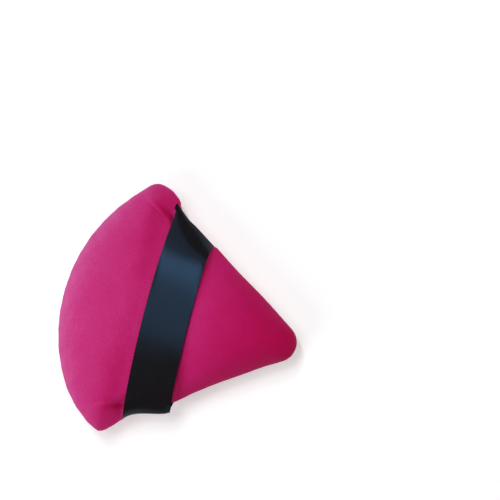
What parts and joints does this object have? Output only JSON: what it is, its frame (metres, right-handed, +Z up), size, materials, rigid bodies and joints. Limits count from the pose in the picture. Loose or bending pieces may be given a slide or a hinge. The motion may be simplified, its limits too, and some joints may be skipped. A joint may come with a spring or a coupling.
{
  "type": "powder puff",
  "caption": "Triangular velour powder puff with a rounded long edge, a foam core and a satin finger ribbon across its back.",
  "frame": {"origin": "middle of the footprint on the table, with the puff lying on its face and the ribbon up", "axes": "+X along the ribbon, from corner to corner; -Y towards the apex; +Z up"},
  "size_m": [0.0876, 0.0822, 0.0196],
  "materials": {
    "velour": "short magenta pile with a soft light edge",
    "foam": "open-cell cream sponge",
    "thread": "spun polyester sewing thread",
    "satin": "black satin with a cool sheen"
  },
  "bodies": {
    "pad": {"back_cover": "velour", "face_cover": "velour", "foam_core": "foam", "needle_thread": "thread", "bobbin_thread": "thread", "closing_thread": "thread", "strap_tail_left": "satin", "strap_tail_right": "satin"},
    "strap": {"strap_span": "satin"}
  },
  "joints": [
    {"name": "strap_lift", "type": "slide", "parent": "pad", "child": "strap", "axis": [0, 0, 1], "range_m": [0, 0.007]}
  ]
}
